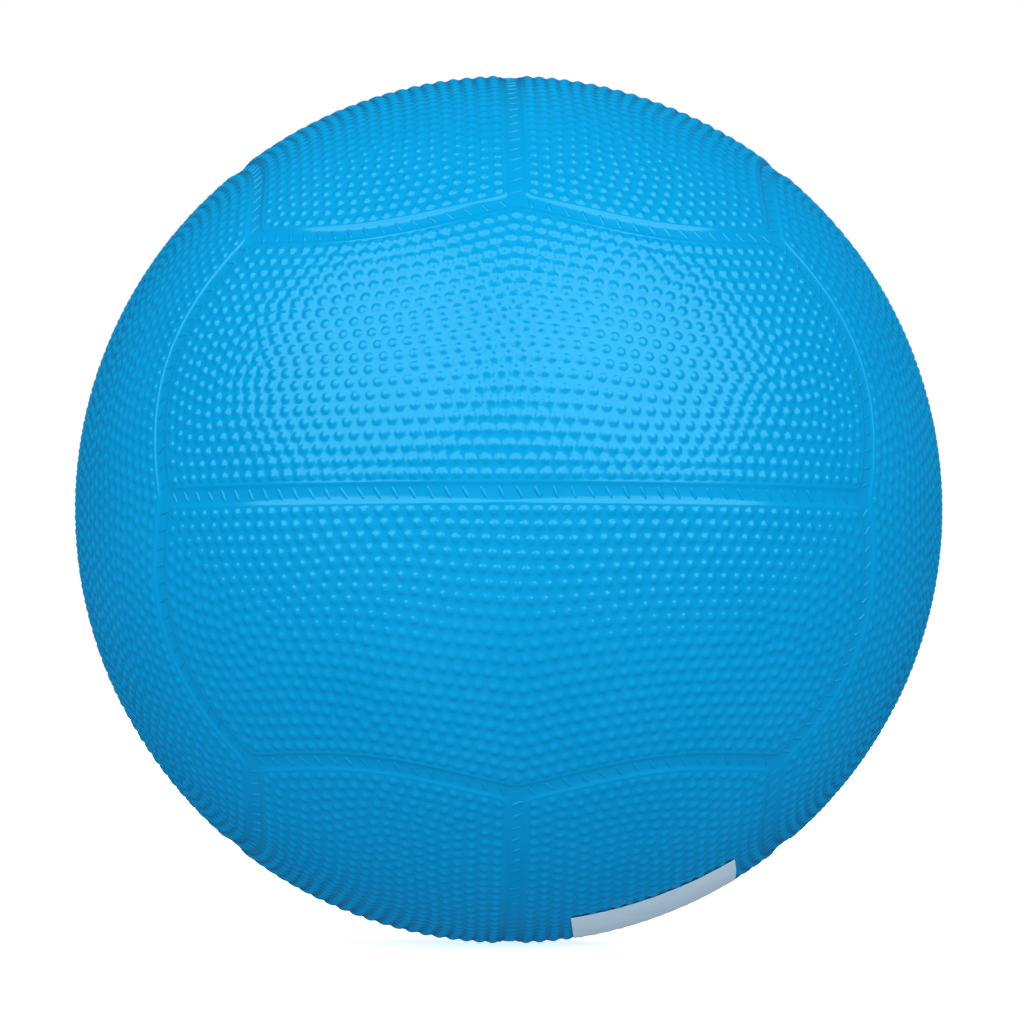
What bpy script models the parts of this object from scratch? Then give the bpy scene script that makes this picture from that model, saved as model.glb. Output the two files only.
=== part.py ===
"""Moulded rubber playground ball, built from the layers that such a ball has.

Twelve five-sided cover panels lie in the pockets of a rubber carcass. The carcass's raised ribs are the
floor of the channels between the panels. Under the carcass are the thread winding and the bladder. A
valve housing, bonded inside the bladder, passes through every layer in the middle of one panel and holds
the self-sealing core. A blank label lies on one lower panel.

The origin is the ball's centre, +Z is up and the front of the ball is -Y. Lengths are in metres.
"""

import math

import bmesh
import bpy
from mathutils import Matrix, Vector

# Driving dimensions.
BALL_RADIUS = 0.105
PANEL_THICKNESS = 0.0013
PANEL_EDGE_DROP = 0.0004
PANEL_EDGE_ROLL = 0.0005
CHANNEL_WIDTH = 0.0044
CHANNEL_DEPTH = 0.0008
CARCASS_WALL = 0.0007
WINDING_WALL = 0.0005
BLADDER_WALL = 0.0006
LAYER_GAP = 0.0003

# The seam pattern, on a sphere. Each of the six faces has a seam across its middle. Its ends are
# junctions, this far from the face's middle, and seams run on from them to the eight corners.
JUNCTION_ANGLE = math.radians(50.0)
SEAM_BOW = math.radians(4.5)
HALF_SEAM_STEPS = 6

# The valve. It is in the middle of the back face's upper panel.
VALVE_PANEL = 3
PANEL_MIDDLE = Vector((0.0, -math.cos(math.radians(21.0)), math.sin(math.radians(21.0))))
VALVE_RADIUS = 0.0060
VALVE_FACE_DROP = 0.0005
VALVE_LENGTH = 0.0185
VALVE_TIP_RADIUS = 0.0048
VALVE_TIP_BORE = 0.0020
VALVE_TIP_SEAT = 0.0028
FLANGE_RADIUS = 0.0140
FLANGE_THICKNESS = 0.0010
CORE_RADIUS = 0.0028
CORE_FACE_DROP = 0.0002
CORE_LENGTH = 0.0150
NEEDLE_HOLE_RADIUS = 0.0009
NEEDLE_HOLE_DEPTH = 0.0120

# The label: where its middle is, which way its long side runs, and its size.
LABEL_MIDDLE = Vector((0.330, -0.240, -0.913)).normalized()
LABEL_LONG_SIDE = Vector((0.942, 0.021, 0.335))
LABEL_LENGTH = 0.042
LABEL_WIDTH = 0.026
LABEL_THICKNESS = 0.00012
LABEL_CELLS = (8, 5)

MIDDLE_SEAM_STEPS = 2 * HALF_SEAM_STEPS
TURNED_SEGMENTS = 30
SHELL_RINGS = 13
CUTTER_REACH = 0.110
SMOOTH_ANGLE = math.radians(28.0)
WELD_DISTANCE = 0.000001

# Sizes that follow from those above.
PANEL_INNER_RADIUS = BALL_RADIUS - PANEL_THICKNESS
POCKET_RADIUS = PANEL_INNER_RADIUS - LAYER_GAP
RIB_RADIUS = BALL_RADIUS - CHANNEL_DEPTH
CARCASS_INNER_RADIUS = POCKET_RADIUS - CARCASS_WALL
WINDING_RADIUS = CARCASS_INNER_RADIUS - LAYER_GAP
WINDING_INNER_RADIUS = WINDING_RADIUS - WINDING_WALL
BLADDER_RADIUS = WINDING_INNER_RADIUS - LAYER_GAP
BLADDER_INNER_RADIUS = BLADDER_RADIUS - BLADDER_WALL
VALVE_HOLE_RADIUS = VALVE_RADIUS + LAYER_GAP
LABEL_RADIUS = BALL_RADIUS + LAYER_GAP + LABEL_THICKNESS
VALVE_FACE_HEIGHT = BALL_RADIUS - VALVE_FACE_DROP


def clear_scene():
    """Removes whatever the file opened with."""
    for obj in list(bpy.data.objects):
        bpy.data.objects.remove(obj, do_unlink=True)


def plain_material(name, colour, roughness, metallic=0.0):
    """A Principled material of one colour."""
    material = bpy.data.materials.new(name)
    material.use_nodes = True
    shader = material.node_tree.nodes["Principled BSDF"]
    shader.inputs["Base Color"].default_value = (*colour, 1.0)
    shader.inputs["Roughness"].default_value = roughness
    shader.inputs["Metallic"].default_value = metallic
    return material


def finished_mesh(name, bm, material):
    """Turns a bmesh into a mesh with its faces outward and its rounded parts shaded smooth."""
    bmesh.ops.recalc_face_normals(bm, faces=bm.faces)
    mesh = bpy.data.meshes.new(name)
    bm.to_mesh(mesh)
    bm.free()
    mesh.shade_smooth()
    mesh.set_sharp_from_angle(angle=SMOOTH_ANGLE)
    mesh.materials.append(material)
    return mesh


def add_object(name, mesh, turn=None):
    """Adds one sub-part, turned about the ball's centre."""
    obj = bpy.data.objects.new(name, mesh)
    bpy.context.scene.collection.objects.link(obj)
    if turn is not None:
        obj.matrix_world = turn.to_4x4()
    return obj


# Seams and panels, as unit vectors from the ball's centre.


def half_seam():
    """The seam from the junction above the front face to the corner on its right.

    It leaves the great circle between the two by a half wave, towards the front face.
    """
    junction = Vector((0.0, -math.sin(JUNCTION_ANGLE), math.cos(JUNCTION_ANGLE)))
    corner = Vector((1.0, -1.0, 1.0)).normalized()
    side = corner.cross(junction).normalized()
    points = []
    for step in range(HALF_SEAM_STEPS + 1):
        share = step / HALF_SEAM_STEPS
        bow = SEAM_BOW * math.sin(math.pi * share)
        straight = junction.slerp(corner, share)
        points.append(straight * math.cos(bow) + side * math.sin(bow))
    return points


def middle_seam():
    """The seam across the front face, from its left junction to its right one."""
    points = []
    for step in range(MIDDLE_SEAM_STEPS + 1):
        angle = JUNCTION_ANGLE * (2.0 * step / MIDDLE_SEAM_STEPS - 1.0)
        points.append(Vector((math.sin(angle), -math.cos(angle), 0.0)))
    return points


def mirrored(points):
    """The points on the other side of the ball's left-right middle plane."""
    return [Vector((-point.x, point.y, point.z)) for point in points]


def panel_outline():
    """The seams round the front face's upper panel, anticlockwise as seen from outside."""
    top = half_seam()
    side = [Vector((-point.y, -point.z, point.x)) for point in top]
    right = side[:-1] + top[:0:-1]
    left = mirrored(top)[:-1] + mirrored(side)[:0:-1]
    return middle_seam()[:-1] + right + left


def inset_outline(outline, distance):
    """The outline moved inwards over the sphere, with its corners mitred."""
    angle = distance / BALL_RADIUS
    count = len(outline)
    points = []
    for index, point in enumerate(outline):
        before = (point - outline[index - 1]).normalized()
        after = (outline[(index + 1) % count] - point).normalized()
        inward_before = point.cross(before).normalized()
        inward_after = point.cross(after).normalized()
        mitre = (inward_before + inward_after) / (1.0 + inward_before.dot(inward_after))
        points.append((point + mitre * math.tan(angle)).normalized())
    return points


def panel_turns():
    """The twelve rotations that carry the first panel onto each panel in turn."""
    next_faces = Matrix(((0.0, 0.0, 1.0), (1.0, 0.0, 0.0), (0.0, 1.0, 0.0)))
    half_turns = ((1.0, 1.0, 1.0), (1.0, -1.0, -1.0), (-1.0, 1.0, -1.0), (-1.0, -1.0, 1.0))
    turn = Matrix.Identity(3)
    turns = []
    for _ in range(3):
        turns.extend(Matrix.Diagonal(signs) @ turn for signs in half_turns)
        turn = next_faces @ turn
    return turns


# Surfaces made of rings and grids of vertices. They are cut into triangles in the same way at every
# radius, so that the faces of two layers stay parallel.


def add_vertices(bm, points):
    return [bm.verts.new(point) for point in points]


def add_quad(bm, first, second, third, fourth):
    """Two triangles, cut along the shorter diagonal."""
    if (first.co - third.co).length < (second.co - fourth.co).length:
        bm.faces.new((first, second, third))
        bm.faces.new((first, third, fourth))
    else:
        bm.faces.new((first, second, fourth))
        bm.faces.new((second, third, fourth))


def join_rings(bm, outer, inner):
    count = len(outer)
    for index in range(count):
        after = (index + 1) % count
        add_quad(bm, outer[index], outer[after], inner[after], inner[index])


def close_ring(bm, ring, point):
    middle = bm.verts.new(point)
    count = len(ring)
    for index in range(count):
        bm.faces.new((ring[index], ring[(index + 1) % count], middle))


def fill_outline(bm, ring, radius):
    """Fills a panel's outline with a grid on a sphere, blended from the outline's four sides."""
    columns, rows = MIDDLE_SEAM_STEPS, HALF_SEAM_STEPS
    bottom = ring[: columns + 1]
    right = ring[columns : columns + rows + 1]
    top = ring[columns + rows : 2 * columns + rows + 1][::-1]
    left = [ring[0]] + ring[: 2 * columns + rows - 1 : -1]
    grid = [bottom]
    for row in range(1, rows):
        up = row / rows
        line = [left[row]]
        for column in range(1, columns):
            across = column / columns
            between_sides = left[row].co.lerp(right[row].co, across)
            between_ends = bottom[column].co.lerp(top[column].co, up)
            low_corner = bottom[0].co.lerp(bottom[-1].co, across)
            high_corner = top[0].co.lerp(top[-1].co, across)
            point = between_sides + between_ends - low_corner.lerp(high_corner, up)
            line.append(bm.verts.new(point.normalized() * radius))
        grid.append(line + [right[row]])
    grid.append(top)
    for below, above in zip(grid, grid[1:]):
        for column in range(columns):
            add_quad(bm, below[column], below[column + 1], above[column + 1], above[column])


def cut_away(obj, cutter):
    """Cuts a helper's shape out of an object."""
    cut = obj.modifiers.new("valve_hole", "BOOLEAN")
    cut.operation = "DIFFERENCE"
    cut.solver = "EXACT"
    cut.object = cutter


# The layers.


def cover_panel_mesh(name, outline, material):
    """One cover panel where the front face's upper panel lies, with a rolled edge."""
    bm = bmesh.new()
    wall_line = inset_outline(outline, CHANNEL_WIDTH / 2.0)
    crown_line = inset_outline(outline, CHANNEL_WIDTH / 2.0 + PANEL_EDGE_ROLL)
    edge_radius = BALL_RADIUS - PANEL_EDGE_DROP
    foot = add_vertices(bm, [point * PANEL_INNER_RADIUS for point in wall_line])
    edge = add_vertices(bm, [point * edge_radius for point in wall_line])
    crown = add_vertices(bm, [point * BALL_RADIUS for point in crown_line])
    join_rings(bm, foot, edge)
    join_rings(bm, edge, crown)
    fill_outline(bm, crown, BALL_RADIUS)
    fill_outline(bm, foot, PANEL_INNER_RADIUS)
    return finished_mesh(name, bm, material)


def carcass_mesh(name, outline, turns, material):
    """The carcass's outside: a pocket for each panel, and raised ribs under the seams."""
    bm = bmesh.new()
    pocket_line = inset_outline(outline, CHANNEL_WIDTH / 2.0 - LAYER_GAP)
    for turn in turns:
        seam = add_vertices(bm, [turn @ point * RIB_RADIUS for point in outline])
        rib_edge = add_vertices(bm, [turn @ point * RIB_RADIUS for point in pocket_line])
        pocket_edge = add_vertices(bm, [turn @ point * POCKET_RADIUS for point in pocket_line])
        join_rings(bm, seam, rib_edge)
        join_rings(bm, rib_edge, pocket_edge)
        fill_outline(bm, pocket_edge, POCKET_RADIUS)
    bmesh.ops.remove_doubles(bm, verts=bm.verts, dist=WELD_DISTANCE)
    return finished_mesh(name, bm, material)


def sphere_profile(radius):
    """(radius, height) points down a sphere, from the edge of the valve hole to the far pole."""
    first = math.asin(VALVE_HOLE_RADIUS / radius)
    second = math.asin((FLANGE_RADIUS + LAYER_GAP) / radius)
    step = (math.pi - second) / (SHELL_RINGS + 1)
    angles = [first] + [second + step * ring for ring in range(SHELL_RINGS + 1)]
    profile = [(radius * math.sin(angle), radius * math.cos(angle)) for angle in angles]
    return profile + [(0.0, -radius)]


def shell_mesh(name, outer_radius, inner_radius, material):
    """A round layer with the valve hole through its wall."""
    profile = sphere_profile(outer_radius) + sphere_profile(inner_radius)[::-1]
    return turned_mesh(name, profile, material)


def hollow_mesh(name, radius, material):
    """A helper with the shape of a layer's hollow and the valve hole above it."""
    neck = [(0.0, CUTTER_REACH), (VALVE_HOLE_RADIUS, CUTTER_REACH)]
    return turned_mesh(name, neck + sphere_profile(radius), material)


# The valve, and everything else turned about the valve's axis, which is +Z in the mesh.


def level_circle(radius, height):
    circle = []
    for segment in range(TURNED_SEGMENTS):
        angle = 2.0 * math.pi * segment / TURNED_SEGMENTS
        circle.append(Vector((radius * math.cos(angle), radius * math.sin(angle), height)))
    return circle


def turned_mesh(name, profile, material):
    """A closed body from a closed profile of (radius, height) points. Radius 0 is on the axis."""
    bm = bmesh.new()
    rings = []
    for radius, height in profile:
        ring = add_vertices(bm, level_circle(radius, height)) if radius > 0.0 else None
        rings.append((ring, height))
    for (first, first_height), (second, second_height) in zip(rings, rings[1:] + rings[:1]):
        if first and second:
            join_rings(bm, first, second)
        elif first:
            close_ring(bm, first, (0.0, 0.0, second_height))
        elif second:
            close_ring(bm, second, (0.0, 0.0, first_height))
    return finished_mesh(name, bm, material)


def height_under_bladder(radius, gap):
    """How high a point this far from the valve's axis lies under the bladder's inner face."""
    clear_radius = BLADDER_INNER_RADIUS - gap
    return math.sqrt(clear_radius**2 - radius**2)


def valve_housing_mesh(name, material):
    """The rubber boss with the flange that bonds it to the bladder, and the bore for the core."""
    flange_top = height_under_bladder(VALVE_RADIUS, 2.0 * LAYER_GAP)
    flange_edge = height_under_bladder(FLANGE_RADIUS, 2.0 * LAYER_GAP)
    tip = VALVE_FACE_HEIGHT - VALVE_LENGTH
    bore = CORE_RADIUS + LAYER_GAP
    profile = (
        (bore, VALVE_FACE_HEIGHT),
        (VALVE_RADIUS, VALVE_FACE_HEIGHT),
        (VALVE_RADIUS, flange_top),
        (FLANGE_RADIUS, flange_edge),
        (FLANGE_RADIUS, flange_edge - FLANGE_THICKNESS),
        (VALVE_RADIUS, flange_top - 2.0 * FLANGE_THICKNESS),
        (VALVE_TIP_RADIUS, tip),
        (VALVE_TIP_BORE, tip),
        (VALVE_TIP_BORE, tip + VALVE_TIP_SEAT),
        (bore, tip + VALVE_TIP_SEAT),
    )
    return turned_mesh(name, profile, material)


def valve_core_mesh(name, material):
    """The self-sealing plug, with the needle's hole down from its outer face."""
    face = VALVE_FACE_HEIGHT - CORE_FACE_DROP
    profile = (
        (NEEDLE_HOLE_RADIUS, face),
        (CORE_RADIUS, face),
        (CORE_RADIUS, face - CORE_LENGTH),
        (0.0, face - CORE_LENGTH),
        (0.0, face - NEEDLE_HOLE_DEPTH),
        (NEEDLE_HOLE_RADIUS, face - NEEDLE_HOLE_DEPTH),
    )
    return turned_mesh(name, profile, material)


def label_mesh(name, material):
    """A thin blank label, curved with the ball and held just clear of the panel under it."""
    bm = bmesh.new()
    long_side = LABEL_LONG_SIDE - LABEL_MIDDLE * LABEL_MIDDLE.dot(LABEL_LONG_SIDE)
    long_side.normalize()
    short_side = LABEL_MIDDLE.cross(long_side)
    columns, rows = LABEL_CELLS
    borders = []
    for radius in (LABEL_RADIUS, LABEL_RADIUS - LABEL_THICKNESS):
        grid = []
        for row in range(rows + 1):
            short_reach = LABEL_WIDTH / BALL_RADIUS * (row / rows - 0.5)
            line = []
            for column in range(columns + 1):
                long_reach = LABEL_LENGTH / BALL_RADIUS * (column / columns - 0.5)
                point = LABEL_MIDDLE + long_side * long_reach + short_side * short_reach
                line.append(point.normalized() * radius)
            grid.append(add_vertices(bm, line))
        for below, above in zip(grid, grid[1:]):
            for column in range(columns):
                add_quad(bm, below[column], below[column + 1], above[column + 1], above[column])
        right = [line[-1] for line in grid[1:-1]]
        left = [line[0] for line in grid[-2:0:-1]]
        borders.append(grid[0] + right + grid[-1][::-1] + left)
    join_rings(bm, borders[0], borders[1])
    return finished_mesh(name, bm, material)


def build():
    clear_scene()
    cover_rubber = plain_material("cover_rubber", (0.004, 0.310, 0.680), 0.32)
    carcass_rubber = plain_material("carcass_rubber", (0.003, 0.270, 0.620), 0.40)
    winding_thread = plain_material("winding_thread", (0.780, 0.760, 0.690), 0.75)
    bladder_rubber = plain_material("bladder_rubber", (0.020, 0.020, 0.022), 0.55)
    housing_rubber = plain_material("housing_rubber", (0.015, 0.015, 0.017), 0.50)
    core_rubber = plain_material("core_rubber", (0.030, 0.030, 0.034), 0.45)
    label_paper = plain_material("label_paper", (0.720, 0.760, 0.780), 0.35)

    outline = panel_outline()
    turns = panel_turns()
    valve_axis = turns[VALVE_PANEL] @ PANEL_MIDDLE
    valve_turn = valve_axis.to_track_quat("Z", "Y").to_matrix()

    panels = []
    panel_mesh = cover_panel_mesh("cover_panel", outline, cover_rubber)
    for index, turn in enumerate(turns):
        panels.append(add_object(f"cover_panel_{index + 1:02d}", panel_mesh, turn))
    carcass = add_object("carcass", carcass_mesh("carcass", outline, turns, carcass_rubber))

    hollow = hollow_mesh("carcass_hollow", CARCASS_INNER_RADIUS, carcass_rubber)
    cutter = add_object("carcass_hollow", hollow, valve_turn)
    cutter.hide_render = True
    cutter.display_type = "WIRE"
    cut_away(panels[VALVE_PANEL], cutter)
    cut_away(carcass, cutter)

    winding = shell_mesh("thread_winding", WINDING_RADIUS, WINDING_INNER_RADIUS, winding_thread)
    add_object("thread_winding", winding, valve_turn)
    bladder = shell_mesh("bladder", BLADDER_RADIUS, BLADDER_INNER_RADIUS, bladder_rubber)
    add_object("bladder", bladder, valve_turn)
    add_object("valve_housing", valve_housing_mesh("valve_housing", housing_rubber), valve_turn)
    add_object("valve_core", valve_core_mesh("valve_core", core_rubber), valve_turn)
    add_object("blank_label", label_mesh("blank_label", label_paper))


build()
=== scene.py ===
"""Looks of the moulded rubber playground ball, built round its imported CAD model.

Every cover panel gets its pebbled surface as real bumps. The carcass gets smooth channel floors with the
moulded stitch marks in them, and the valve and the blank label get their own fine shapes.
Lengths are in metres, and the ball's centre is the origin.
"""

import math

import bmesh
import bpy
import numpy as np
from mathutils import Matrix, Vector
from mathutils.geometry import delaunay_2d_cdt


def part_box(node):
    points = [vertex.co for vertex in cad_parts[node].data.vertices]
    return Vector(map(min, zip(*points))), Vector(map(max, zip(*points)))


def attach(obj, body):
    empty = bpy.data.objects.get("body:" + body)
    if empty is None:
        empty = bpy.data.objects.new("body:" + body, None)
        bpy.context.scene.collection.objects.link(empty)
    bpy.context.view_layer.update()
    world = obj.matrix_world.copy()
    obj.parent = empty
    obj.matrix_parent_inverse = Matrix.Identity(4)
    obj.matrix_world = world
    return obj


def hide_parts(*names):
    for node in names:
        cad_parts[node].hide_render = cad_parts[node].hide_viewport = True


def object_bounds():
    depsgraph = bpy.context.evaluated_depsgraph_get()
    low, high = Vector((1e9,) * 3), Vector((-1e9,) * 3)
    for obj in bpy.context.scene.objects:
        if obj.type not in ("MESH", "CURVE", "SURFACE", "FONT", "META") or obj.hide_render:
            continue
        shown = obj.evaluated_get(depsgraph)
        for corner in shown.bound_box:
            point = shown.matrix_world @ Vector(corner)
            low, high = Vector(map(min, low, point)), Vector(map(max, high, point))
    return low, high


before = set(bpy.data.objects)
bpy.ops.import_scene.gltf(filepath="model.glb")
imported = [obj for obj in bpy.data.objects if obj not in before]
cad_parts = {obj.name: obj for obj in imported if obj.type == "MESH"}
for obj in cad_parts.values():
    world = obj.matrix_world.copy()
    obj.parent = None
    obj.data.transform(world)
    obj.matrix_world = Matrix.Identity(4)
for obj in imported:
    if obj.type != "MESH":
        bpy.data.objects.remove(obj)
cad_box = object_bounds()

MM = 0.001

# Radii, from the frame's carcass, whose ribs are the channel floors.
FLOOR_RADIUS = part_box("carcass")[1][2]
TIP_RADIUS = FLOOR_RADIUS + 0.80 * MM
LAND_RADIUS = TIP_RADIUS - 0.44 * MM
PANEL_INNER_RADIUS = TIP_RADIUS - 1.25 * MM
POCKET_RADIUS = TIP_RADIUS - 1.60 * MM
CARCASS_INNER_RADIUS = TIP_RADIUS - 2.30 * MM

# The seam pattern, the same as the CAD's.
JUNCTION_ANGLE = math.radians(50.0)
SEAM_BOW = math.radians(4.5)
HALF_CHANNEL = 2.2 * MM
CHANNEL_DEPTH = LAND_RADIUS - FLOOR_RADIUS
FLOOR_CURVE = 3.3  # the power that the floor rises by
MIDDLE_STEPS = 200
HALF_STEPS = 72
CORNER_SMOOTHING = 4
INNER_RINGS = 36

# Pebbles.
PEBBLE_PITCH = 3.44 * MM
PEBBLE_ROW = 2.98 * MM
FIRST_ROW = 4.15 * MM
PEBBLE_RADIUS = 1.22 * MM
PEBBLE_RINGS = ((0.40, 6), (0.75, 12), (1.0, 12), (1.14, 12))
RING_POINTS = 700
ROW_WAVE = 0.45 * MM
RELAX_STEPS = 30
RELAX_REACH = 1.42
LAYOUT_SEED = 7

# The stitch marks across the channels.
STITCH_PITCH = 3.9 * MM
STITCH_MARGIN = 3.2 * MM
STITCH_HALF_LENGTH = 1.60 * MM
STITCH_HALF_WIDTH = 0.40 * MM
STITCH_HEIGHT = 0.33 * MM
STITCH_SLANT = math.radians(-61.0)
STITCH_STATIONS = np.linspace(-1.0, 1.0, 11)
STITCH_SECTION = np.linspace(0.0, math.pi, 7)

# The valve, in the middle of one panel.
VALVE_PANEL = 3
VALVE_RISE = math.radians(21.0)
VALVE_HOLE = 6.15 * MM
VALVE_FACE_RADIUS = TIP_RADIUS - 0.50 * MM
VALVE_FLANGE_TOP = 100.219 * MM
VALVE_FLANGE_EDGE = 99.418 * MM
VALVE_CLEARING = 9.3 * MM
# The land round the valve hole, as radius and lift in millimetres, with a low bead.
VALVE_BEAD = ((6.45, 0.02), (6.9, 0.0), (7.35, 0.0), (7.6, 0.10), (7.9, 0.10), (8.15, 0.0))
HOLE_SIDES = 72

# The label, which lies on a lower panel.
LABEL_PANEL = 4
LABEL_MIDDLE = np.array((0.330, -0.240, -0.913))
LABEL_LONG_SIDE = np.array((0.942, 0.021, 0.335))
LABEL_LENGTH = 42.0 * MM
LABEL_WIDTH = 26.0 * MM
LABEL_THICKNESS = 0.10 * MM
LABEL_CLEARANCE = 0.02 * MM
LABEL_SINK = 0.06 * MM
LABEL_CELLS = (96, 60)


# Colours, linear, and gloss.
DEEP_BLUE = (0.000, 0.248, 0.540)
CLEAR_BLUE = (0.001, 0.266, 0.570)
# Paler blue for the pebble tips: a painted highlight.
TIP_HIGHLIGHT_BLUE = (0.003, 0.276, 0.585)
COVER_ROUGHNESS = (0.11, 0.15)
VALVE_BLACK = ((0.010, 0.010, 0.011), (0.024, 0.024, 0.025))
CORE_BLACK = ((0.020, 0.020, 0.021), (0.04, 0.04, 0.041))
BLADDER_BLACK = ((0.012, 0.012, 0.013), (0.03, 0.03, 0.031))


# Seams, as rows of unit vectors.


def unit(rows):
    return rows / np.linalg.norm(rows, axis=-1, keepdims=True)


def half_seam(shares):
    """The seam from the junction above the front face (share 0) to the corner on its right (share 1)."""
    junction = np.array((0.0, -math.sin(JUNCTION_ANGLE), math.cos(JUNCTION_ANGLE)))
    corner = unit(np.array((1.0, -1.0, 1.0)))
    side = unit(np.cross(corner, junction))
    span = math.acos(junction @ corner)
    shares = np.asarray(shares, dtype=float)[:, None]
    straight = np.sin((1.0 - shares) * span) * junction + np.sin(shares * span) * corner
    bow = SEAM_BOW * np.sin(math.pi * shares)
    return straight / math.sin(span) * np.cos(bow) + side * np.sin(bow)


def middle_seam(shares):
    """The seam across the front face, from its left junction to its right one."""
    angle = JUNCTION_ANGLE * (2.0 * np.asarray(shares, dtype=float) - 1.0)
    return np.stack((np.sin(angle), -np.cos(angle), 0.0 * angle), axis=1)


def side_seam(shares):
    """The seam from the front face's right junction to the corner above it."""
    top = half_seam(shares)
    return np.stack((-top[:, 1], -top[:, 2], top[:, 0]), axis=1)


def mirrored(rows):
    return rows * np.array((-1.0, 1.0, 1.0))


# The five sides of the front face's upper panel, anticlockwise from outside, and their step counts.
PANEL_SIDES = (
    (middle_seam, MIDDLE_STEPS),
    (side_seam, HALF_STEPS),
    (lambda shares: half_seam(1.0 - np.asarray(shares)), HALF_STEPS),
    (lambda shares: mirrored(half_seam(shares)), HALF_STEPS),
    (lambda shares: mirrored(side_seam(1.0 - np.asarray(shares))), HALF_STEPS),
)


def side_frame(side, shares):
    """Points of a side with their directions along it and into the panel."""
    nudge = 1e-4
    point = side(shares)
    along = unit(side(np.asarray(shares) + nudge) - side(np.asarray(shares) - nudge))
    return point, along, unit(np.cross(point, along))


def inset_outline(distance):
    """The panel's outline moved inwards, with its corners trimmed and a little rounded."""
    reach = distance / TIP_RADIUS
    count = len(PANEL_SIDES)
    trims = []
    for index in range(count):
        _, before, _ = side_frame(PANEL_SIDES[index - 1][0], [1.0])
        _, after, _ = side_frame(PANEL_SIDES[index][0], [0.0])
        turn = math.acos(np.clip((before[0] * after[0]).sum(), -1.0, 1.0))
        trims.append(reach * math.tan(turn / 2.0))
    rows = []
    for index, (side, steps) in enumerate(PANEL_SIDES):
        fine = side(np.linspace(0.0, 1.0, 200))
        length = np.linalg.norm(np.diff(fine, axis=0), axis=1).sum()
        first = trims[index] / length
        last = 1.0 - trims[(index + 1) % count] / length
        shares = first + (last - first) * np.arange(steps) / steps
        point, _, inward = side_frame(side, shares)
        rows.append(unit(point + inward * math.tan(reach)))
    loop = np.concatenate(rows)
    if distance > 0.0:
        for _ in range(CORNER_SMOOTHING):
            loop = unit(0.5 * loop + 0.25 * (np.roll(loop, 1, axis=0) + np.roll(loop, -1, axis=0)))
    return loop


def panel_turns():
    """The twelve rotations that carry the first panel onto each panel, in the CAD's order."""
    next_faces = np.array(((0.0, 0.0, 1.0), (1.0, 0.0, 0.0), (0.0, 1.0, 0.0)))
    half_turns = ((1.0, 1.0, 1.0), (1.0, -1.0, -1.0), (-1.0, 1.0, -1.0), (-1.0, -1.0, 1.0))
    turn = np.eye(3)
    turns = []
    for _ in range(3):
        turns.extend(np.diag(signs) @ turn for signs in half_turns)
        turn = next_faces @ turn
    return turns


SEAM_LOOP = inset_outline(0.0)
TURNS = panel_turns()
PANEL_MIDDLE = np.array((0.0, -math.cos(VALVE_RISE), math.sin(VALVE_RISE)))
VALVE_AXIS = TURNS[VALVE_PANEL] @ PANEL_MIDDLE


# Where the pebbles go on one panel.


def seam_distance(points):
    """Signed distance to the nearest seam, positive inside the panel, and the way inwards."""
    after = np.roll(SEAM_LOOP, -1, axis=0)
    before = np.roll(SEAM_LOOP, 1, axis=0)
    inward = unit(np.cross(SEAM_LOOP, after - before))
    gap = points[:, None, :] - SEAM_LOOP[None, :, :]
    nearest = np.argmin((gap**2).sum(axis=2), axis=1)
    chosen = gap[np.arange(len(points)), nearest]
    across = (chosen * inward[nearest]).sum(axis=1)
    size = np.linalg.norm(chosen, axis=1)
    return np.where(across > 0.0, size, -size), np.where(across[:, None] > 0.0, chosen, -chosen)


def resampled(loop, count):
    """The same closed line with evenly spaced points."""
    closed = np.concatenate((loop, loop[:1]))
    steps = np.linalg.norm(np.diff(closed, axis=0), axis=1)
    along = np.concatenate(((0.0,), np.cumsum(steps)))
    wanted = along[-1] * np.arange(count) / count
    return unit(np.stack([np.interp(wanted, along, closed[:, k]) for k in range(3)], axis=1)), along[-1]


def pebble_rows():
    """Closed lines at even distances from the seams, from the outside inwards."""
    row = PEBBLE_ROW / TIP_RADIUS
    target = FIRST_ROW / TIP_RADIUS
    line, length = resampled(inset_outline(FIRST_ROW), RING_POINTS)
    rows = []
    while length > 3.0 * row:
        rows.append((line, length))
        target += row
        inward = unit(np.cross(line, np.roll(line, -1, axis=0) - np.roll(line, 1, axis=0)))
        moved = unit(line + inward * row)
        distance, _ = seam_distance(moved)
        moved = moved[distance > target - 0.05 * row]
        if len(moved) < 3:
            break
        line, length = resampled(moved, RING_POINTS)
    return rows


def pebble_layout():
    """Pebbles in rows that follow the panel's sides, settled where the rows meet."""
    rng = np.random.default_rng(LAYOUT_SEED)
    pitch, row = PEBBLE_PITCH / TIP_RADIUS, PEBBLE_ROW / TIP_RADIUS
    first = FIRST_ROW / TIP_RADIUS
    starts = []
    for line, length in pebble_rows():
        count = int(round(length / pitch))
        spots = (np.arange(count) + rng.uniform()) * (len(line) / count)
        starts.append(line[spots.astype(int) % len(line)])
    points = np.concatenate(starts)
    points = unit(points + rng.normal(0.0, 0.05 * pitch, points.shape))
    waves = rng.normal(0.0, ROW_WAVE / TIP_RADIUS, (5, 3))
    tilts = rng.normal(0.0, 6.5, (5, 3))
    phases = rng.uniform(0.0, 2.0 * math.pi, 5)
    points = unit(points + np.sin(points @ tilts.T + phases) @ waves)
    reach = RELAX_REACH * pitch
    for _ in range(RELAX_STEPS):
        gap = points[:, None, :] - points[None, :, :]
        size = np.sqrt((gap**2).sum(axis=2)) + 1e-9
        push = np.clip(1.0 - size / reach, 0.0, None) ** 1.5
        np.fill_diagonal(push, 0.0)
        move = (gap / size[:, :, None] * push[:, :, None]).sum(axis=1) * pitch * 0.55
        points = unit(points + move)
        distance, inward = seam_distance(points)
        pull = np.where(distance < first + 0.45 * row, first - distance, 0.0)
        points = unit(points + unit(inward) * pull[:, None])
    return points


# Meshes from points.


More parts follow.
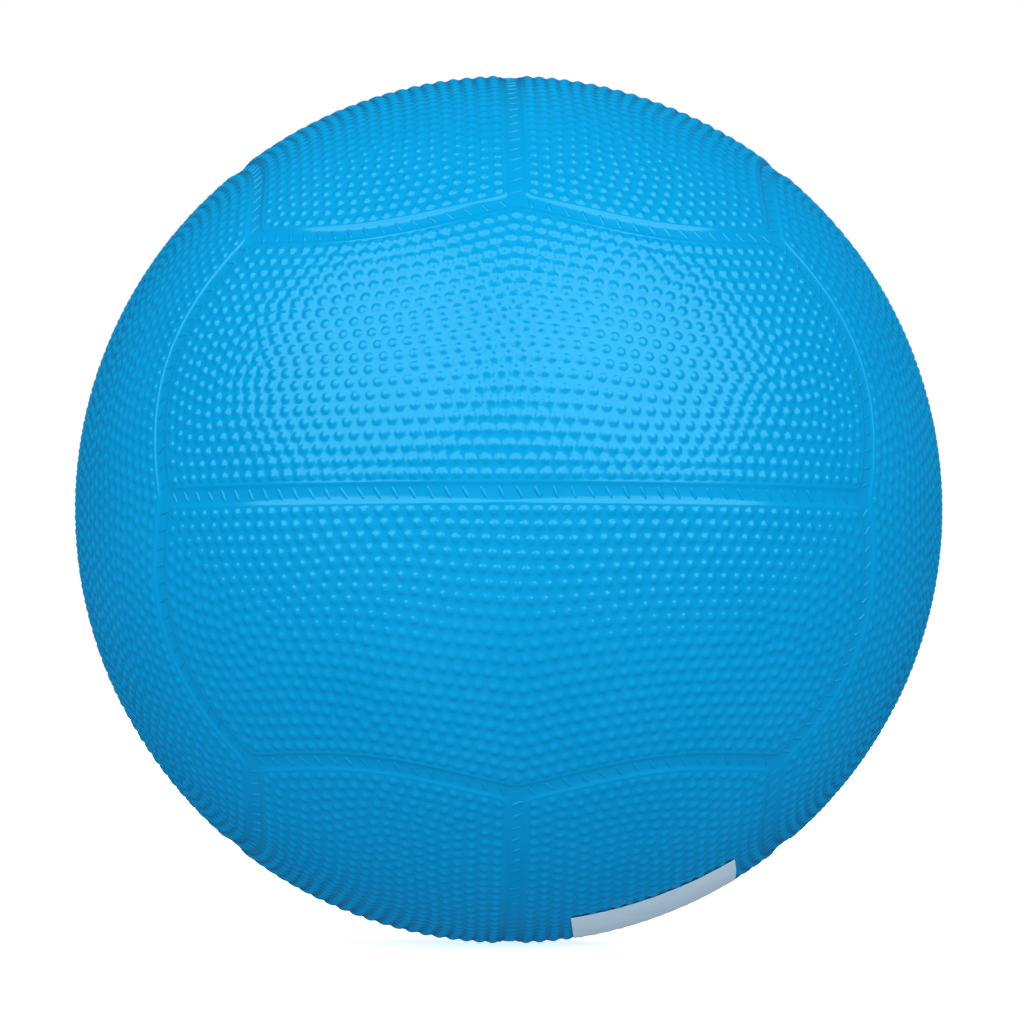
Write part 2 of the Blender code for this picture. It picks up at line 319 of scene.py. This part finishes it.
def flat_map(points, middle):
    """Stereographic map about a middle, which keeps small shapes as they are."""
    across = unit(np.cross((0.0, 0.0, 1.0), middle))
    up = np.cross(middle, across)
    scale = 2.0 / (1.0 + points @ middle)
    return np.stack((points @ across * scale, points @ up * scale), axis=1)


class Shell:
    """Vertices and faces of one mesh while it is put together."""

    def __init__(self):
        self.points = []
        self.faces = []
        self.crown = []

    def add(self, rows, radius, crown=0.0):
        """Adds unit vectors at a radius, or at one radius each, and returns their indices."""
        start = len(self.points)
        rows = np.asarray(rows) * np.reshape(radius, (-1, 1))
        self.points.extend(map(tuple, rows))
        self.crown.extend(np.broadcast_to(crown, len(rows)).tolist())
        return list(range(start, start + len(rows)))

    def join(self, outer, inner):
        """Quads between two rings that run anticlockwise from outside, the outer one first."""
        count = len(outer)
        for index in range(count):
            after = (index + 1) % count
            self.faces.append((outer[index], outer[after], inner[after], inner[index]))

    def close(self, ring, point):
        count = len(ring)
        for index in range(count):
            self.faces.append((ring[index], ring[(index + 1) % count], point))

    def fill(self, loop, inside, middle, hole=None, flip=False):
        """Triangles over everything inside a loop, through the given vertices, round a hole."""
        indices = list(loop) + list(inside) + (list(hole) if hole else [])
        rows = unit(np.array([self.points[index] for index in indices]))
        flat = flat_map(rows, middle)
        count = len(loop)
        edges = []
        if hole:
            start = len(loop) + len(inside)
            edges = [(start + k, start + (k + 1) % len(hole)) for k in range(len(hole))]
        verts, _, faces, originals, _, _ = delaunay_2d_cdt(
            [Vector(p) for p in flat], edges, [list(range(count))], 1, 1e-9
        )
        names = [source[0] if source else None for source in originals]
        hole_limit = 0.0
        if hole:
            hole_flat = flat[len(loop) + len(inside):]
            hole_middle = hole_flat.mean(axis=0)
            hole_limit = np.linalg.norm(hole_flat - hole_middle, axis=1).min()
        for face in faces:
            corners = [names[k] for k in face]
            if None in corners:
                continue
            spot = flat[corners].mean(axis=0)
            if hole and np.linalg.norm(spot - hole_middle) < hole_limit:
                continue
            a, b, c = (flat[k] for k in corners[:3])
            turning = (b[0] - a[0]) * (c[1] - a[1]) - (b[1] - a[1]) * (c[0] - a[0])
            ordered = corners if (turning > 0.0) != flip else corners[::-1]
            self.faces.append(tuple(indices[k] for k in ordered))

    def mesh(self, name, material, weld=0.0, sharp=60.0):
        mesh = bpy.data.meshes.new(name)
        mesh.from_pydata(self.points, [], self.faces)
        layer = mesh.attributes.new("crown", "FLOAT", "POINT")
        layer.data.foreach_set("value", self.crown)
        tidy_mesh(mesh, weld)
        mesh.shade_smooth()
        mesh.set_sharp_from_angle(angle=math.radians(sharp))
        mesh.materials.append(material)
        return mesh


def tidy_mesh(mesh, weld):
    """Joins points closer than a distance, if there is one, drops loose ones and turns faces outward."""
    bm = bmesh.new()
    bm.from_mesh(mesh)
    if weld:
        bmesh.ops.remove_doubles(bm, verts=bm.verts, dist=weld)
    bmesh.ops.delete(bm, geom=[vertex for vertex in bm.verts if not vertex.link_faces], context="VERTS")
    bmesh.ops.recalc_face_normals(bm, faces=bm.faces)
    bm.to_mesh(mesh)
    bm.free()


def ring_directions(axis, sides=HOLE_SIDES, first=0.0, shift=0.0):
    """Unit vectors evenly round an axis and square to it, the first one at an angle."""
    across = unit(np.cross((0.0, 0.0, 1.0), axis))
    along = np.cross(axis, across)
    turn = first + 2.0 * math.pi * (np.arange(sides) + shift) / sides
    return np.cos(turn)[:, None] * across + np.sin(turn)[:, None] * along


def circle_rows(axis, radius):
    """A ring of unit vectors round an axis, its radius given on the ball's surface."""
    angle = math.asin(radius / TIP_RADIUS)
    return axis * math.cos(angle) + ring_directions(axis) * math.sin(angle)


# The panel.


def add_pebbles(shell, centres, rng):
    """Low domes. Each has a tip, three rings on the dome and one on the land round it."""
    added = []
    height = TIP_RADIUS - LAND_RADIUS
    for centre in centres:
        size = PEBBLE_RADIUS * (1.0 + rng.uniform(-0.04, 0.04)) / TIP_RADIUS
        tall = height * (1.0 - rng.uniform(0.0, 0.08))
        phase = rng.uniform(0.0, 2.0 * math.pi)
        added += shell.add([centre], LAND_RADIUS + tall, 1.0)
        for share, sides in PEBBLE_RINGS:
            outward = ring_directions(centre, sides, phase, 0.5 if share == 1.0 else 0.0)
            rows = unit(centre + outward * share * size)
            lift = max(0.0, 1.0 - share**2)
            added += shell.add(rows, LAND_RADIUS + tall * lift, lift)
    return added


def panel_shell(with_valve):
    shell = Shell()
    profile = (
        (2.20, PANEL_INNER_RADIUS),
        (2.20, LAND_RADIUS - 0.02 * MM),
        (2.30, LAND_RADIUS + 0.015 * MM),
        (2.45, LAND_RADIUS + 0.03 * MM),
        (2.65, LAND_RADIUS + 0.02 * MM),
        (2.86, LAND_RADIUS),
    )
    rings = []
    for inset, radius in profile:
        rings.append(shell.add(inset_outline(inset * MM), radius))
    for outer, inner in zip(rings, rings[1:]):
        shell.join(outer, inner)
    centres = PEBBLES
    hole, floor_hole = None, None
    inside = []
    if with_valve:
        near = np.arccos(np.clip(centres @ PANEL_MIDDLE, -1.0, 1.0)) * TIP_RADIUS
        centres = centres[near > VALVE_CLEARING]
        for radius, lift in VALVE_BEAD:
            inside += shell.add(circle_rows(PANEL_MIDDLE, radius * MM), LAND_RADIUS + lift * MM)
        hole = shell.add(circle_rows(PANEL_MIDDLE, VALVE_HOLE + 0.08 * MM), LAND_RADIUS - 0.03 * MM)
        wall = shell.add(circle_rows(PANEL_MIDDLE, VALVE_HOLE), LAND_RADIUS - 0.12 * MM)
        floor_hole = shell.add(circle_rows(PANEL_MIDDLE, VALVE_HOLE), PANEL_INNER_RADIUS)
        shell.join(hole, wall)
        shell.join(wall, floor_hole)
    inside += add_pebbles(shell, centres, np.random.default_rng(LAYOUT_SEED))
    shell.fill(rings[-1], inside, PANEL_MIDDLE, hole)
    under = shell.add(under_points(with_valve), PANEL_INNER_RADIUS)
    shell.fill(rings[0], under, PANEL_MIDDLE, floor_hole, flip=True)
    return shell


def under_points(with_valve):
    """A loose set of points that keeps a panel's underside round."""
    keep = PEBBLES[::9]
    distance, _ = seam_distance(keep)
    keep = keep[distance > 7.0 * MM / TIP_RADIUS]
    if with_valve:
        near = np.arccos(np.clip(keep @ PANEL_MIDDLE, -1.0, 1.0)) * TIP_RADIUS
        keep = keep[near > VALVE_CLEARING]
    return keep


# The carcass, with the channel floors.


def channel_rise(distance):
    """How far the channel floor rises away from the seam: flat in the middle, steep at its edges."""
    return CHANNEL_DEPTH * abs(distance / HALF_CHANNEL) ** FLOOR_CURVE


def carcass_shell():
    shell = Shell()
    floors = (0.0, 0.5, 0.9, 1.2, 1.45, 1.7, 1.9, 2.05, 2.18)
    profile = [(inset, FLOOR_RADIUS + channel_rise(inset * MM)) for inset in floors]
    profile.append((2.24, FLOOR_RADIUS + channel_rise(2.19 * MM)))
    profile.append((2.26, POCKET_RADIUS))
    loops = [(inset_outline(inset * MM), radius) for inset, radius in profile]
    for index, turn in enumerate(TURNS):
        rings = [shell.add(rows @ turn.T, radius) for rows, radius in loops]
        for outer, inner in zip(rings, rings[1:]):
            shell.join(outer, inner)
        with_valve = index == VALVE_PANEL
        middle = turn @ PANEL_MIDDLE
        hole = shell.add(circle_rows(middle, VALVE_HOLE), POCKET_RADIUS) if with_valve else None
        under = shell.add(under_points(with_valve) @ turn.T, POCKET_RADIUS)
        shell.fill(rings[-1], under, middle, hole)
        if with_valve:
            outer_hole = hole
    inner_hole = shell.add(circle_rows(VALVE_AXIS, VALVE_HOLE), CARCASS_INNER_RADIUS)
    shell.join(outer_hole, inner_hole)
    ring = inner_hole
    outward = ring_directions(VALVE_AXIS)
    for step in range(1, INNER_RINGS):
        angle = VALVE_HOLE / TIP_RADIUS + (math.pi - VALVE_HOLE / TIP_RADIUS) * step / INNER_RINGS
        rows = VALVE_AXIS * math.cos(angle) + outward * math.sin(angle)
        below = shell.add(rows, CARCASS_INNER_RADIUS)
        shell.join(ring, below)
        ring = below
    shell.close(ring, shell.add([-VALVE_AXIS], CARCASS_INNER_RADIUS)[0])
    return shell


# The moulded stitch marks on the channel floors.


def seam_lines():
    """The middle line of each of the thirty seams, as a function of the share along it."""
    lines = []
    for turn in TURNS:
        lines.append(lambda shares, t=turn: half_seam(shares) @ t.T)
        lines.append(lambda shares, t=turn: mirrored(half_seam(shares)) @ t.T)
    done = []
    for turn in TURNS:
        middle = turn @ np.array((0.0, -1.0, 0.0))
        if all(np.linalg.norm(middle - other) > 0.1 for other in done):
            done.append(middle)
            lines.append(lambda shares, t=turn: middle_seam(shares) @ t.T)
    return lines


def add_stitch(shell, point, along, inward, slant, strength):
    """One slanted ridge across the channel floor, with tapered ends."""
    run = along * math.cos(slant) + inward * math.sin(slant)
    wide = np.cross(point, run)
    rings = []
    for station in STITCH_STATIONS:
        taper = math.sqrt(1.0 - abs(station) ** 3)
        middle = unit(point * FLOOR_RADIUS + run * station * STITCH_HALF_LENGTH)
        across = station * STITCH_HALF_LENGTH * math.sin(slant)
        ring = []
        for angle in STITCH_SECTION:
            out = math.cos(angle) * STITCH_HALF_WIDTH * max(taper, 0.12)
            off = across + out * (wide @ inward)
            base = FLOOR_RADIUS + channel_rise(off) - 0.04 * MM
            lift = math.sin(angle) * STITCH_HEIGHT * strength * max(taper, 0.05)
            ring.append(middle * (base + lift) + wide * out)
        start = len(shell.points)
        shell.points.extend(map(tuple, ring))
        shell.crown.extend([0.0] * len(ring))
        rings.append(list(range(start, start + len(ring))))
    for first, second in zip(rings, rings[1:]):
        shell.join(first, second)
    shell.faces.append(tuple(rings[0]))
    shell.faces.append(tuple(reversed(rings[-1])))


def stitch_shell():
    shell = Shell()
    rng = np.random.default_rng(LAYOUT_SEED + 1)
    for line in seam_lines():
        fine = line(np.linspace(0.0, 1.0, 400))
        length = np.linalg.norm(np.diff(fine, axis=0), axis=1).sum() * FLOOR_RADIUS
        count = int((length - 2.0 * STITCH_MARGIN) / STITCH_PITCH)
        for k in range(count + 1):
            share = (STITCH_MARGIN + (length - 2.0 * STITCH_MARGIN) * k / count) / length
            point, along, inward = (rows[0] for rows in side_frame(line, [share]))
            slant = STITCH_SLANT + rng.uniform(-0.10, 0.10)
            add_stitch(shell, point, along, inward, slant, rng.uniform(0.60, 1.0))
    return shell


# Materials.


def set_range(node, low, high, out_low, out_high):
    """Fills in a Map Range node."""
    for name, value in zip(("From Min", "From Max", "To Min", "To Max"), (low, high, out_low, out_high)):
        node.inputs[name].default_value = value


class Nodes:
    """Short calls for building one material's node tree."""

    def __init__(self, name):
        self.material = bpy.data.materials.new(name)
        self.material.use_nodes = True
        self.tree = self.material.node_tree
        self.shader = self.tree.nodes["Principled BSDF"]
        self.place = self.add("ShaderNodeTexCoord").outputs["Object"]

    def add(self, kind, **settings):
        node = self.tree.nodes.new(kind)
        for key, value in settings.items():
            setattr(node, key, value)
        return node

    def link(self, source, target):
        self.tree.links.new(source, target)

    def noise(self, scale, detail=3.0, roughness=0.55):
        node = self.add("ShaderNodeTexNoise")
        node.inputs["Scale"].default_value = scale
        node.inputs["Detail"].default_value = detail
        node.inputs["Roughness"].default_value = roughness
        self.link(self.place, node.inputs["Vector"])
        return node.outputs["Fac"]

    def range(self, source, low, high, out_low, out_high):
        node = self.add("ShaderNodeMapRange")
        self.link(source, node.inputs["Value"])
        set_range(node, low, high, out_low, out_high)
        return node.outputs["Result"]

    def mix(self, factor, first, second):
        """A colour mix. Each colour is a tuple or a socket."""
        node = self.add("ShaderNodeMix", data_type="RGBA")
        sockets = [s for s in node.inputs if s.type == "RGBA"]
        if isinstance(factor, float):
            node.inputs["Factor"].default_value = factor
        else:
            self.link(factor, node.inputs["Factor"])
        for socket, colour in zip(sockets, (first, second)):
            if isinstance(colour, tuple):
                socket.default_value = (*colour, 1.0)
            else:
                self.link(colour, socket)
        return [s for s in node.outputs if s.type == "RGBA"][0]

    def bump(self, height, strength, distance):
        node = self.add("ShaderNodeBump")
        node.inputs["Strength"].default_value = strength
        node.inputs["Distance"].default_value = distance
        self.link(height, node.inputs["Height"])
        self.link(node.outputs["Normal"], self.shader.inputs["Normal"])

    def set(self, **values):
        for name, value in values.items():
            self.shader.inputs[name.replace("_", " ")].default_value = value


def rubber_material(name, deep, clear, tip):
    """Coloured rubber: slow drift in colour, slightly paler tips as a painted highlight, uneven gloss and
    a fine grain.
    """
    n = Nodes(name)
    slow = n.range(n.noise(28.0, 4.0), 0.30, 0.70, 0.0, 1.0)
    base = n.mix(slow, deep, clear)
    crown = n.add("ShaderNodeAttribute", attribute_name="crown").outputs["Fac"]
    # The pebble tips are mixed towards a paler blue: a painted highlight on every tip.
    tip_highlight = n.range(crown, 0.55, 1.0, 0.0, 0.35)
    n.link(n.mix(tip_highlight, base, tip), n.shader.inputs["Base Color"])
    n.link(n.range(n.noise(180.0, 5.0), 0.30, 0.70, *COVER_ROUGHNESS), n.shader.inputs["Roughness"])
    n.bump(n.noise(4200.0, 2.0), 0.10, 0.00004)
    n.set(IOR=1.50)
    n.shader.inputs["Specular IOR Level"].default_value = 0.74
    n.shader.inputs["Specular Tint"].default_value = (0.33, 0.95, 1.0, 1.0)
    return n.material


def plain_rubber(name, dark, light, low_rough, high_rough):
    """Black valve rubber with faint bloom."""
    n = Nodes(name)
    bloom = n.range(n.noise(420.0, 5.0), 0.35, 0.70, 0.0, 1.0)
    n.link(n.mix(bloom, dark, light), n.shader.inputs["Base Color"])
    n.link(n.range(n.noise(900.0, 4.0), 0.30, 0.70, low_rough, high_rough), n.shader.inputs["Roughness"])
    n.bump(n.noise(5200.0, 2.0), 0.15, 0.00004)
    return n.material


def thread_material():
    """Wound nylon thread: fine crossing lines in two directions."""
    n = Nodes("winding_thread")
    lines = []
    for axis in ("X", "Z"):
        wave = n.add("ShaderNodeTexWave", wave_type="BANDS", bands_direction=axis)
        wave.inputs["Scale"].default_value = 420.0
        wave.inputs["Distortion"].default_value = 2.0
        n.link(n.place, wave.inputs["Vector"])
        lines.append(wave.outputs["Fac"])
    crossing = n.add("ShaderNodeMath", operation="MAXIMUM")
    n.link(lines[0], crossing.inputs[0])
    n.link(lines[1], crossing.inputs[1])
    thread = crossing.outputs["Value"]
    n.link(n.mix(thread, (0.46, 0.43, 0.36), (0.83, 0.81, 0.74)), n.shader.inputs["Base Color"])
    n.link(n.range(thread, 0.0, 1.0, 0.85, 0.55), n.shader.inputs["Roughness"])
    n.bump(thread, 0.5, 0.0002)
    return n.material


def paper_material():
    """A coated white label, faintly mottled. Its blue-grey colour is painted shade and painted blue bounce
    light on the white paper.
    """
    n = Nodes("label_paper")
    blotch = n.range(n.noise(160.0, 4.0), 0.30, 0.70, 0.0, 1.0)
    # Blue-grey instead of white: painted shade and painted blue bounce light.
    n.link(n.mix(blotch, (0.49, 0.67, 0.76), (0.53, 0.71, 0.80)), n.shader.inputs["Base Color"])
    n.link(n.range(n.noise(700.0, 3.0), 0.30, 0.70, 0.38, 0.52), n.shader.inputs["Roughness"])
    n.bump(n.noise(2600.0, 3.0), 0.12, 0.00004)
    return n.material


def floor_material():
    n = Nodes("studio_floor")
    n.link(n.mix(n.noise(3.0, 2.0), (0.90, 0.90, 0.90), (0.94, 0.94, 0.94)), n.shader.inputs["Base Color"])
    n.set(Roughness=0.9)
    n.shader.inputs["Specular IOR Level"].default_value = 0.1
    n.shader.inputs["Emission Color"].default_value = (1.0, 1.0, 1.0, 1.0)
    n.shader.inputs["Emission Strength"].default_value = 0.75
    return n.material


# Turned pieces of the valve.


def turned_shell(profile, sides):
    """A closed body turned round VALVE_AXIS from (radius, height) points in metres."""
    shell = Shell()
    outward = ring_directions(VALVE_AXIS, sides)
    rings = []
    for radius, height in profile:
        start = len(shell.points)
        if radius == 0.0:
            shell.points.append(tuple(VALVE_AXIS * height))
            shell.crown.append(0.0)
            rings.append(start)
            continue
        shell.points.extend(map(tuple, VALVE_AXIS * height + outward * radius))
        shell.crown.extend([0.0] * sides)
        rings.append(list(range(start, start + sides)))
    for first, second in zip(rings, rings[1:] + rings[:1]):
        if isinstance(first, int) and isinstance(second, int):
            continue
        if isinstance(first, int):
            shell.close(second, first)
        elif isinstance(second, int):
            shell.close(first, second)
        else:
            shell.join(second, first)
    return shell


def housing_shell():
    """The valve's rubber boss, flange and bore, with rounded edges."""
    face = VALVE_FACE_RADIUS
    profile = (
        (3.10, face - 0.30 * MM),
        (3.20, face - 0.10 * MM),
        (3.40, face),
        (4.10, face + 0.02 * MM),
        (4.25, face - 0.10 * MM),
        (4.55, face - 0.10 * MM),
        (4.70, face + 0.02 * MM),
        (5.60, face),
        (5.85, face - 0.08 * MM),
        (6.00, face - 0.30 * MM),
        (6.00, VALVE_FLANGE_TOP),
        (13.6, VALVE_FLANGE_EDGE + 0.05 * MM),
        (14.0, VALVE_FLANGE_EDGE - 0.20 * MM),
        (14.0, VALVE_FLANGE_EDGE - 0.80 * MM),
        (13.6, VALVE_FLANGE_EDGE - 1.00 * MM),
        (6.00, VALVE_FLANGE_TOP - 2.00 * MM),
        (5.00, face - 17.9 * MM),
        (4.60, face - 18.5 * MM),
        (2.20, face - 18.5 * MM),
        (2.00, face - 18.3 * MM),
        (2.00, face - 15.7 * MM),
        (3.10, face - 15.7 * MM),
    )
    return turned_shell([(radius * MM, height) for radius, height in profile], HOLE_SIDES)


def core_shell():
    """The self-sealing plug, with a dimple round the needle's hole."""
    face = VALVE_FACE_RADIUS - 0.20 * MM
    profile = (
        (0.90, face - 0.45 * MM),
        (1.10, face - 0.22 * MM),
        (1.60, face - 0.06 * MM),
        (2.10, face),
        (2.55, face),
        (2.75, face - 0.10 * MM),
        (2.80, face - 0.30 * MM),
        (2.80, face - 14.7 * MM),
        (2.50, face - 15.0 * MM),
        (0.00, face - 15.0 * MM),
        (0.00, face - 12.0 * MM),
        (0.75, face - 11.9 * MM),
        (0.90, face - 11.6 * MM),
    )
    return turned_shell([(radius * MM, height) for radius, height in profile], HOLE_SIDES)


# The label.


def label_shell():
    """A thin blank sheet that lies on the pebbles and sinks a little between them."""
    middle = unit(LABEL_MIDDLE)
    long_side = unit(LABEL_LONG_SIDE - middle * (middle @ LABEL_LONG_SIDE))
    short_side = np.cross(middle, long_side)
    columns, rows = LABEL_CELLS
    spots = []
    for row in range(rows + 1):
        for column in range(columns + 1):
            across = LABEL_LENGTH / TIP_RADIUS * (column / columns - 0.5)
            down = LABEL_WIDTH / TIP_RADIUS * (row / rows - 0.5)
            spots.append(middle + long_side * across + short_side * down)
    spots = unit(np.array(spots))
    pebbles = PEBBLES @ TURNS[LABEL_PANEL].T
    nearest = np.sqrt(((spots[:, None, :] - pebbles[None, :, :]) ** 2).sum(axis=2)).min(axis=1)
    sink = np.clip(nearest * TIP_RADIUS / (0.5 * PEBBLE_PITCH), 0.0, 1.0) ** 2 * LABEL_SINK
    under = TIP_RADIUS + LABEL_CLEARANCE - sink
    shell = Shell()
    upper = shell.add(spots, under + LABEL_THICKNESS)
    lower = shell.add(spots, under)
    wide = columns + 1
    for row in range(rows):
        for column in range(columns):
            a = row * wide + column
            cell = (a, a + 1, a + 1 + wide, a + wide)
            shell.faces.append(tuple(upper[k] for k in cell))
            shell.faces.append(tuple(lower[k] for k in reversed(cell)))
    border = [k for k in range(wide)]
    border += [row * wide + columns for row in range(1, rows + 1)]
    border += [rows * wide + k for k in range(columns - 1, -1, -1)]
    border += [row * wide for row in range(rows - 1, 0, -1)]
    for here, after in zip(border, border[1:] + border[:1]):
        shell.faces.append((upper[here], lower[here], lower[after], upper[after]))
    return shell


# The studio, fitted to how the photograph's shading falls. Azimuths are from the front, towards +X.
SOFTBOX_ELEVATION = 37.0
SOFTBOX_SPREAD = 62.0
SOFTBOX_COLOUR = (1.0, 1.0, 0.87)
SOFTBOXES = (("left_softbox", -43.0, 1.56), ("right_softbox", 38.0, 1.60))
BACK_LIGHT = {"azimuth": 152.0, "elevation": 20.0, "strength": 2.4, "spread": 12.0}
WORLD_FRONT = (1.0, 1.0, 1.0, 1.0)
WORLD_REST = (0.46, 0.48, 0.58, 1.0)
WORLD_STRENGTH = 1.18
WORLD_STRENGTH_IN_GLOSS = 0.04
FLOOR_HALF = 14.0
CAMERA_DIRECTION = (-0.255, -10.99, -0.407)
CAMERA_DISTANCE = 1.155
CAMERA_LENS = 167.2
CAMERA_SHIFT_RIGHT = 0.0008
CAMERA_SHIFT_DOWN = 0.0006


# Building.


def add_object(name, mesh, turn=None):
    obj = bpy.data.objects.new(name, mesh)
    bpy.context.scene.collection.objects.link(obj)
    if turn is not None:
        obj.matrix_world = Matrix(turn.tolist()).to_4x4()
    return obj


def stand_for(obj, slot, *nodes):
    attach(obj, "root")
    if nodes:
        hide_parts(*nodes)


PEBBLES = pebble_layout()

COVER = rubber_material("cover_rubber", DEEP_BLUE, CLEAR_BLUE, TIP_HIGHLIGHT_BLUE)
CARCASS = rubber_material("carcass_rubber", DEEP_BLUE, CLEAR_BLUE, CLEAR_BLUE)

whole = panel_shell(False).mesh("cover_panel", COVER)
holed = panel_shell(True).mesh("cover_panel_with_valve_hole", COVER)
for index, turn in enumerate(TURNS):
    name = f"cover_panel_{index + 1:02d}"
    panel = add_object(f"pebbled_panel_{index + 1:02d}", holed if index == VALVE_PANEL else whole, turn)
    stand_for(panel, "cover_rubber", name)

carcass_mesh = carcass_shell().mesh("carcass_with_channels", CARCASS, weld=1e-6)
carcass = add_object("carcass_with_channels", carcass_mesh)
stand_for(carcass, "carcass_rubber", "carcass")
stitches = add_object("channel_stitch_marks", stitch_shell().mesh("channel_stitch_marks", CARCASS))
stand_for(stitches, "carcass_rubber")
housing_rubber = plain_rubber("housing_rubber", *VALVE_BLACK, 0.38, 0.55)
housing_mesh = housing_shell().mesh("valve_boss_and_flange", housing_rubber, sharp=40.0)
housing = add_object("valve_boss_and_flange", housing_mesh)
stand_for(housing, "housing_rubber", "valve_housing")
core_rubber = plain_rubber("core_rubber", *CORE_BLACK, 0.35, 0.50)
core = add_object("self_sealing_core", core_shell().mesh("self_sealing_core", core_rubber, sharp=40.0))
stand_for(core, "core_rubber", "valve_core")
label = add_object("blank_paper_label", label_shell().mesh("blank_paper_label", paper_material()))
stand_for(label, "label_paper", "blank_label")


def finish_node(name, material):
    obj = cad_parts[name]
    for slot in obj.material_slots:
        slot.material = material


finish_node("thread_winding", thread_material())
finish_node("bladder", plain_rubber("bladder_rubber", *BLADDER_BLACK, 0.45, 0.65))


# Studio: floor, world, lights and camera.


def add_studio():
    bottom = cad_box[0][2]
    half = FLOOR_HALF
    mesh = bpy.data.meshes.new("studio_floor")
    corners = [(-half, -half, bottom), (half, -half, bottom), (half, half, bottom), (-half, half, bottom)]
    mesh.from_pydata(corners, [], [(0, 1, 2, 3)])
    mesh.materials.append(floor_material())
    floor = add_object("studio_floor", mesh)
    floor.visible_diffuse = False
    floor.visible_glossy = False
    floor.visible_shadow = False
    add_world()
    for name, azimuth, strength in SOFTBOXES:
        box = add_sun(name, azimuth, SOFTBOX_ELEVATION, strength, SOFTBOX_SPREAD)
        box.data.color = SOFTBOX_COLOUR
    back = add_sun("back_light", *BACK_LIGHT.values())
    back.visible_glossy = False


def add_world():
    """White to the camera. As a light it is bright in front and dim behind."""
    world = bpy.data.worlds.new("studio")
    bpy.context.scene.world = world
    world.use_nodes = True
    tree = world.node_tree
    tree.nodes.clear()
    output = tree.nodes.new("ShaderNodeOutputWorld")
    fill = tree.nodes.new("ShaderNodeBackground")
    seen = tree.nodes.new("ShaderNodeBackground")
    way = tree.nodes.new("ShaderNodeTexCoord")
    parts = tree.nodes.new("ShaderNodeSeparateXYZ")
    tree.links.new(way.outputs["Generated"], parts.inputs[0])
    ramp = tree.nodes.new("ShaderNodeValToRGB")
    spread = tree.nodes.new("ShaderNodeMapRange")
    tree.links.new(parts.outputs["Y"], spread.inputs["Value"])
    set_range(spread, -1.0, 1.0, 0.0, 1.0)
    tree.links.new(spread.outputs["Result"], ramp.inputs[0])
    stops = ramp.color_ramp.elements
    stops[0].position, stops[0].color = 0.0, WORLD_FRONT
    stops[1].position, stops[1].color = 0.5, WORLD_REST
    last = stops.new(1.0)
    last.color = WORLD_REST
    tree.links.new(ramp.outputs[0], fill.inputs["Color"])
    path = tree.nodes.new("ShaderNodeLightPath")
    dim = tree.nodes.new("ShaderNodeMapRange")
    tree.links.new(path.outputs["Is Glossy Ray"], dim.inputs["Value"])
    set_range(dim, 0.0, 1.0, WORLD_STRENGTH, WORLD_STRENGTH_IN_GLOSS)
    tree.links.new(dim.outputs["Result"], fill.inputs["Strength"])
    seen.inputs["Color"].default_value = (1.0, 1.0, 1.0, 1.0)
    seen.inputs["Strength"].default_value = 1.0
    mix = tree.nodes.new("ShaderNodeMixShader")
    tree.links.new(path.outputs["Is Camera Ray"], mix.inputs[0])
    tree.links.new(fill.outputs[0], mix.inputs[1])
    tree.links.new(seen.outputs[0], mix.inputs[2])
    tree.links.new(mix.outputs[0], output.inputs[0])


def add_sun(name, azimuth, elevation, strength, angle):
    """A soft light, its angles in degrees and its azimuth measured from the front, towards +X."""
    azimuth, elevation = math.radians(azimuth), math.radians(elevation)
    level = math.cos(elevation)
    direction = (math.sin(azimuth) * level, -math.cos(azimuth) * level, math.sin(elevation))
    light = bpy.data.lights.new(name, "SUN")
    light.energy = strength
    light.angle = math.radians(angle)
    return add_light(name, light, direction)


def add_light(name, light, direction):
    obj = bpy.data.objects.new(name, light)
    bpy.context.scene.collection.objects.link(obj)
    obj.rotation_euler = Vector(direction).to_track_quat("Z", "Y").to_euler()
    obj.location = Vector(direction) * 2.0
    return obj


def add_camera():
    """At the photograph's angle: just under level and a little to the left."""
    eye = Vector(CAMERA_DIRECTION).normalized() * CAMERA_DISTANCE
    forward = (-eye).normalized()
    right = forward.cross(Vector((0.0, 0.0, 1.0))).normalized()
    up = right.cross(forward)
    target = right * CAMERA_SHIFT_RIGHT - up * CAMERA_SHIFT_DOWN
    data = bpy.data.cameras.new("camera")
    data.lens = CAMERA_LENS
    data.sensor_width = 36.0
    data.clip_end = 60.0
    camera = bpy.data.objects.new("camera", data)
    bpy.context.scene.collection.objects.link(camera)
    camera.location = eye
    camera.rotation_euler = (target - eye).to_track_quat("-Z", "Y").to_euler()
    bpy.context.scene.camera = camera


add_studio()
add_camera()
bpy.context.scene.view_settings.view_transform = "Standard"
